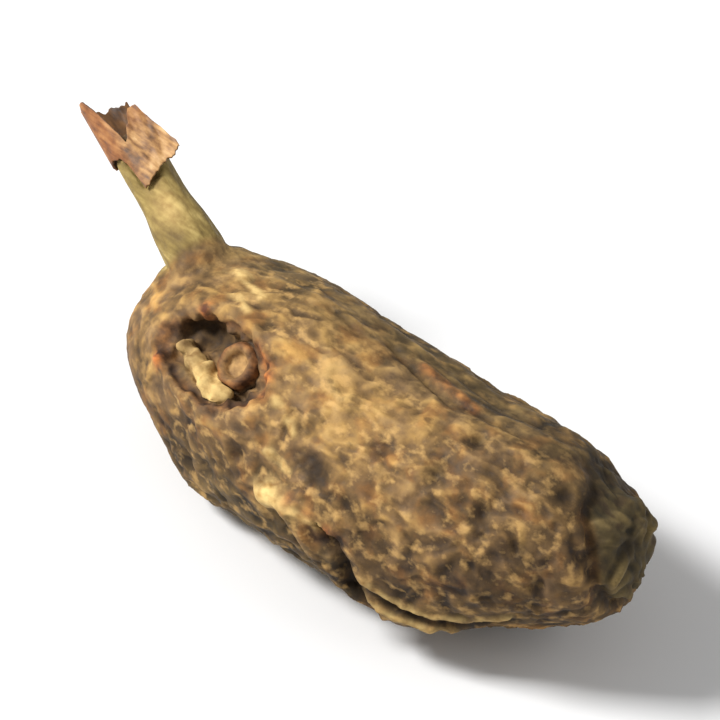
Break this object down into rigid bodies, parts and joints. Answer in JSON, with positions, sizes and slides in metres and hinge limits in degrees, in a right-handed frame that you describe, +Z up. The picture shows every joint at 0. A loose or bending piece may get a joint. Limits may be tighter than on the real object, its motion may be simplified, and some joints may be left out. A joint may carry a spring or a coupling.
{
  "type": "colchicum corm",
  "caption": "Dried brown colchicum corm, a blunt loaf-shaped tuber lying on its side, with a broken shoot stub, a round bud scar and a scrap of dry leaf sheath.",
  "frame": {"origin": "middle of the whole part's box in X and Y, on the surface that the corm lies on", "axes": "+X from the crown with its shoot stub to the basal end, -Y to the side with the bud scar and the seam, +Z up"},
  "size_m": [0.0398, 0.014, 0.0145],
  "materials": {
    "corm_skin": "dull, wrinkled dry skin, mottled tan and dark brown",
    "dry_sheath": "thin papery dry sheath, pinkish tan, browner at its torn edges and inside"
  },
  "bodies": {
    "root": {"corm": "corm_skin", "sheath_scrap": "dry_sheath"}
  },
  "joints": []
}
